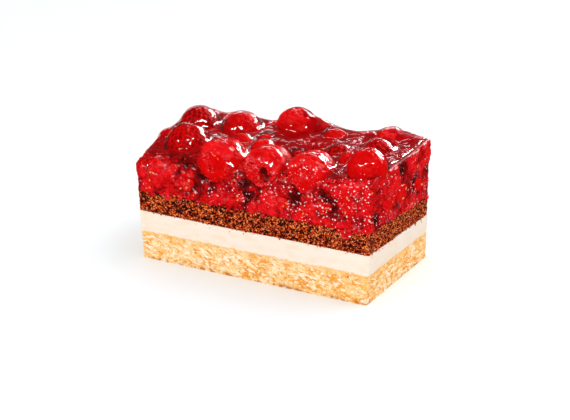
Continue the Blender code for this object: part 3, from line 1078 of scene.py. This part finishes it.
# Seeds: the pale pips of the cut fruit, small pointed grains that lie half bare in the cut faces.
SEED_SIZE = (0.60 * MM, 0.34 * MM, 0.28 * MM)
SEED_SINK = 0.14 * MM
SEEDS_IN_JELLY = 50
SEEDS_IN_BERRY = 2
SPOTS_TO_A_SEED = 40
seed_finish, wire = new_finish("seed_hull", {"Roughness": 0.3, "Specular IOR Level": 0.5})
ripe = wire.grain(5 * MM, 2.0).between(0.35, 0.65)
coat(seed_finish, base_color=ripe.blend(dye(248, 176, 70), dye(236, 104, 36)))
seed_bm = bmesh.new()
draw = random.Random(7)
for spots in fruit_spots:
    count = SEEDS_IN_JELLY if spots is fruit_spots[0] else SEEDS_IN_BERRY
    for spot, outward in draw.sample(spots, min(count, len(spots) // SPOTS_TO_A_SEED)):
        seed = bmesh.ops.create_uvsphere(seed_bm, u_segments=8, v_segments=6, radius=1)["verts"]
        lie = outward.to_track_quat("Z", "Y").to_matrix().to_4x4()
        spin = Matrix.Rotation(draw.uniform(0, math.tau), 4, "Z")
        size = Matrix.Diagonal([part * draw.uniform(0.85, 1.1) for part in SEED_SIZE] + [1])
        place = Matrix.Translation(spot - SEED_SINK * outward)
        bmesh.ops.transform(seed_bm, matrix=place @ lie @ spin @ size, verts=seed)
for point in seed_bm.verts:
    point.co = pressed(point.co, PRESSED_PROUD)
in_order(seed_bm)
smooth(seed_bm)
finish_piece("seeds", seed_bm, seed_finish, "raspberry")

# Torn fruit and crumbs: what the knife dragged along. Bits of fruit hang over the sponge's upper edge, and
# chocolate crumbs stick to the cream just under the sponge. Sizes are across, up and out of the face.
FRUIT_BITS = 46
FRUIT_BIT_OUT = 0.4 * MM
FRUIT_BIT_SINK = 0.25 * MM
CHOCOLATE_CRUMBS = 80
CRUMB_OUT = 0.25 * MM
CRUMB_SINK = 0.3 * MM
CRUMB_DROP = 1.6 * MM
TORN_PIECE = (41.0 * MM, -24.3 * MM, 26.5 * MM)
TORN_PIECE_SIZE = (2.6 * MM, 1.9 * MM, 0.5 * MM)
STRAY_BIT = (41.7 * MM, -24.4 * MM, 9.7 * MM)
STRAY_BIT_SIZE = (0.55 * MM, 0.4 * MM, 0.3 * MM)


def face_spot(draw, z):
    """A random spot on one of the cut faces at a height, and the way that the face looks."""
    reach_x, reach_y = half_length(z), half_width(z)
    along = draw.uniform(-0.93, 0.93)
    side = draw.choice((-1, 1))
    if draw.random() < LENGTH / (LENGTH + WIDTH):
        return Vector((along * reach_x, side * reach_y, z)), Vector((0, side, 0))
    return Vector((side * reach_x, along * reach_y, z)), Vector((side, 0, 0))


def lump(bm, spot, outward, size, draw, hollow):
    """Adds a small uneven lump, flat against the face that it sticks to."""
    points = bmesh.ops.create_icosphere(bm, subdivisions=2, radius=1)["verts"]
    shift = Vector((draw.uniform(0, 99), 0, 0))
    for point in points:
        point.co *= 1 + 0.45 * noise.noise(1.2 * point.co + shift)
        point[bm.verts.layers.float["hollow"]] = hollow
        point[bm.verts.layers.float["cut"]] = 1.0
    lie = outward.to_track_quat("Z", "Y").to_matrix().to_4x4()
    place = Matrix.Translation(spot) @ lie @ Matrix.Diagonal((*size, 1))
    bmesh.ops.transform(bm, matrix=place, verts=points)


def lump_mesh():
    """An empty mesh for lumps, with the marks that their finishes read."""
    bm = bmesh.new()
    bm.verts.layers.float.new("hollow")
    bm.verts.layers.float.new("cut")
    return bm


bit_bm = lump_mesh()
draw = random.Random(11)
front = Vector((0, -1, 0))
lump(bit_bm, Vector(TORN_PIECE), front, TORN_PIECE_SIZE, draw, 0.1)
lump(bit_bm, Vector(STRAY_BIT), front, STRAY_BIT_SIZE, draw, 0.35)
for _ in range(FRUIT_BITS):
    spot, outward = face_spot(draw, SPONGE_TOP[0])
    spot.z = seam(spot.x, spot.y, SPONGE_TOP) + draw.uniform(-1.3, 0.3) * MM
    across = draw.uniform(0.5, 1.5) * MM
    size = (across, across * draw.uniform(0.5, 0.9), FRUIT_BIT_OUT)
    lump(bit_bm, spot - FRUIT_BIT_SINK * outward, outward, size, draw, draw.uniform(0.0, 0.4))
smooth(bit_bm)
finish_piece("fruit_bits", bit_bm, jelly_finish, "jelly")
crumb_bm = lump_mesh()
for _ in range(CHOCOLATE_CRUMBS):
    spot, outward = face_spot(draw, CREAM_TOP[0])
    drop = CRUMB_DROP * draw.random() ** 3
    spot.z = seam(spot.x, spot.y, CREAM_TOP) + 0.3 * MM - drop
    across = draw.uniform(0.2, 0.5) * MM * (1 - 0.25 * drop / MM)
    size = (across, across, CRUMB_OUT)
    lump(crumb_bm, spot - CRUMB_SINK * outward, outward, size, draw, draw.uniform(0.0, 0.4))
smooth(crumb_bm)
finish_piece("chocolate_crumbs", crumb_bm, sponge_finish, "chocolate_crumb")

# Glaze: a clear film of the same jelly, poured last over the top. It lies close over the berries' crowns,
# fills in between them, and ends in a soft rim where it meets the cut faces.
GLAZE_CELL = 0.6 * MM
GLAZE_SMOOTHING = 34
GLAZE_LENGTH = LENGTH + 4.0 * MM
GLAZE_WIDTH = WIDTH - 2.0 * MM
GLAZE_DEEP = 2.2 * MM
GLAZE_PROUD = 0.6 * MM
GLAZE_LUMPY_DIP = 1.3 * MM
GLAZE_OVER_BERRY = 0.2 * MM
# It goes over the berries whose crowns come within this of the jelly's level.
GLAZED_BELOW = 3.0 * MM
GLAZE_RIM = 0.5 * MM
GLAZE_RIM_WANDER = 1.0 * MM
GLAZE_RIM_FALL = 1.6 * MM
GLAZE_RIM_SINK = 1.8 * MM
GLAZE_RIPPLE = 0.32 * MM
GLAZE_RIPPLE_PITCH = 6.0 * MM
GLAZE_PRESSED_PROUD = 0.4 * MM
GLAZE_CEILING = cad_high[2] - 0.02 * MM
# Where the glaze has run together against the berries at the back, in millimetres as for the jelly's
# swells, and how thick it looks there.
GLAZE_SWELLS = ((4.2, 4.0, 5.5, 19.0), (2.4, 4.0, 42.0, 20.5), (1.6, 4.0, 29.0, 21.0))
BANKED_THICKNESS = 1.3


def banked_up(x, y):
    """How much higher the glaze stands where it has run together."""
    heights = 0.0
    for height, reach, at_x, at_y in GLAZE_SWELLS:
        off = math.hypot(x / MM - at_x, y / MM - at_y) / reach
        heights += height * MM * math.exp(-off * off)
    return heights


def glaze_level(x, y):
    """The level of the glaze between the berries, which falls off in a round rim at the cut faces."""
    high = jelly_height(x, y)
    drop = 0.0
    for reach, at, radius in (
        (half_length(high), abs(x), SIDE_ROUND),
        (half_width(high), -y, FRONT_ROUND),
        (half_width(high), y, SIDE_ROUND),
    ):
        across = min(radius, max(0.0, radius - (reach - at)))
        drop = max(drop, radius - math.sqrt(radius * radius - across * across))
    return high - drop


glaze_bm = bmesh.new()
bmesh.ops.create_grid(glaze_bm, x_segments=100, y_segments=50, size=0.5)
grown = bmesh.ops.extrude_face_region(glaze_bm, geom=glaze_bm.faces[:])["geom"]
raised = {item for item in grown if isinstance(item, bmesh.types.BMVert)}
for point in glaze_bm.verts:
    x, y = point.co.x * GLAZE_LENGTH, point.co.y * GLAZE_WIDTH
    z = glaze_level(x, y)
    z += GLAZE_PROUD - GLAZE_LUMPY_DIP * lumpy_rim(Vector((x, y, z))) + banked_up(x, y)
    point.co = (x, y, z if point in raised else z - GLAZE_DEEP)
for middle, radius in berries:
    if middle.z + 0.6 * radius > JELLY_LEVEL - GLAZED_BELOW:
        ball = {"subdivisions": 4, "radius": radius + GLAZE_OVER_BERRY}
        bmesh.ops.create_icosphere(glaze_bm, matrix=Matrix.Translation(middle), **ball)
glaze_form = bpy.data.meshes.new("glaze_form")
glaze_bm.to_mesh(glaze_form)
glaze_bm.free()
former = bpy.data.objects.new("glaze_form", glaze_form)
bpy.context.scene.collection.objects.link(former)
skin = former.modifiers.new("skin", "REMESH")
skin.mode = "VOXEL"
skin.voxel_size = GLAZE_CELL
glaze_bm = bmesh.new()
glaze_bm.from_object(former, bpy.context.evaluated_depsgraph_get())
bpy.data.objects.remove(former)
bpy.data.meshes.remove(glaze_form)
for _ in range(GLAZE_SMOOTHING):
    axes = {"use_axis_x": True, "use_axis_y": True, "use_axis_z": True}
    bmesh.ops.smooth_vert(glaze_bm, verts=glaze_bm.verts[:], factor=0.5, **axes)
glaze_bm.normal_update()
thick_mark = glaze_bm.verts.layers.float.new("thickness")
for point in glaze_bm.verts:
    spot = point.co.copy()
    to_berry = 1.0
    for middle, radius in berries:
        off = spot - middle
        gap = off.length - radius
        if gap < 0:
            spot = middle + off.normalized() * radius
            gap = 0.0
        to_berry = min(to_berry, gap)
    level = glaze_level(spot.x, spot.y)
    banked = banked_up(spot.x, spot.y)
    to_jelly = spot.z - level + SET_BACK - BANKED_THICKNESS * banked
    point[thick_mark] = max(BANKED_THICKNESS * MM * min(1.0, banked / MM), min(to_berry, to_jelly)) / MM
    rim = level - GLAZE_RIM + GLAZE_RIM_WANDER * noise.noise(spot / GLAZE_RIPPLE_PITCH)
    sink = min(1.0, max(0.0, (rim - spot.z) / GLAZE_RIM_FALL))
    sink = sink * sink * (3 - 2 * sink)
    ripple = GLAZE_RIPPLE * noise.fractal(spot / GLAZE_RIPPLE_PITCH, 1.0, 2.2, 2)
    spot += point.normal * (ripple - GLAZE_RIM_SINK * sink)
    spot = pressed(spot, GLAZE_PRESSED_PROUD)
    spot.z = min(GLAZE_CEILING, spot.z)
    point.co = spot
smooth(glaze_bm)
glaze_finish, wire = new_finish("clear_glaze", {"Roughness": 0.1, "Specular IOR Level": 0.0})
thickness = wire.mark("thickness")
bump = wire.grain(3.2 * MM, 0.6).bump(0.9, 0.45 * MM)
murky = thickness + 3.4 * (wire.grain(5 * MM, 3.0, 0.6) - 0.5)
body = murky.between(0.4, 2.8).blend(dye(208, 10, 18), dye(78, 2, 10))
coat(glaze_finish, base_color=body, normal=bump)
clear = wire.node("BsdfTransparent", {}, {"Color": (1.0, 0.55, 0.55, 1.0)})
jellied = Wire(glaze_finish.node_tree, glaze_finish.node_tree.nodes["Principled BSDF"].outputs[0])
depth = wire.node("MixShader", {}, {0: 0.95 * thickness.between(0.25, 1.6), 1: clear, 2: jellied})
gloss = wire.node("BsdfAnisotropic", {}, {"Roughness": 0.015, "Normal": bump})
facing = wire.node("LayerWeight", {}, {"Blend": 0.5, "Normal": bump}, output="Facing")
film = wire.node("MixShader", {}, {0: 0.06 + 0.9 * facing**5, 1: depth, 2: gloss})
out = glaze_finish.node_tree.nodes["Material Output"]
glaze_finish.node_tree.links.new(film.socket, out.inputs["Surface"])
finish_piece("glaze", glaze_bm, glaze_finish, "jelly")
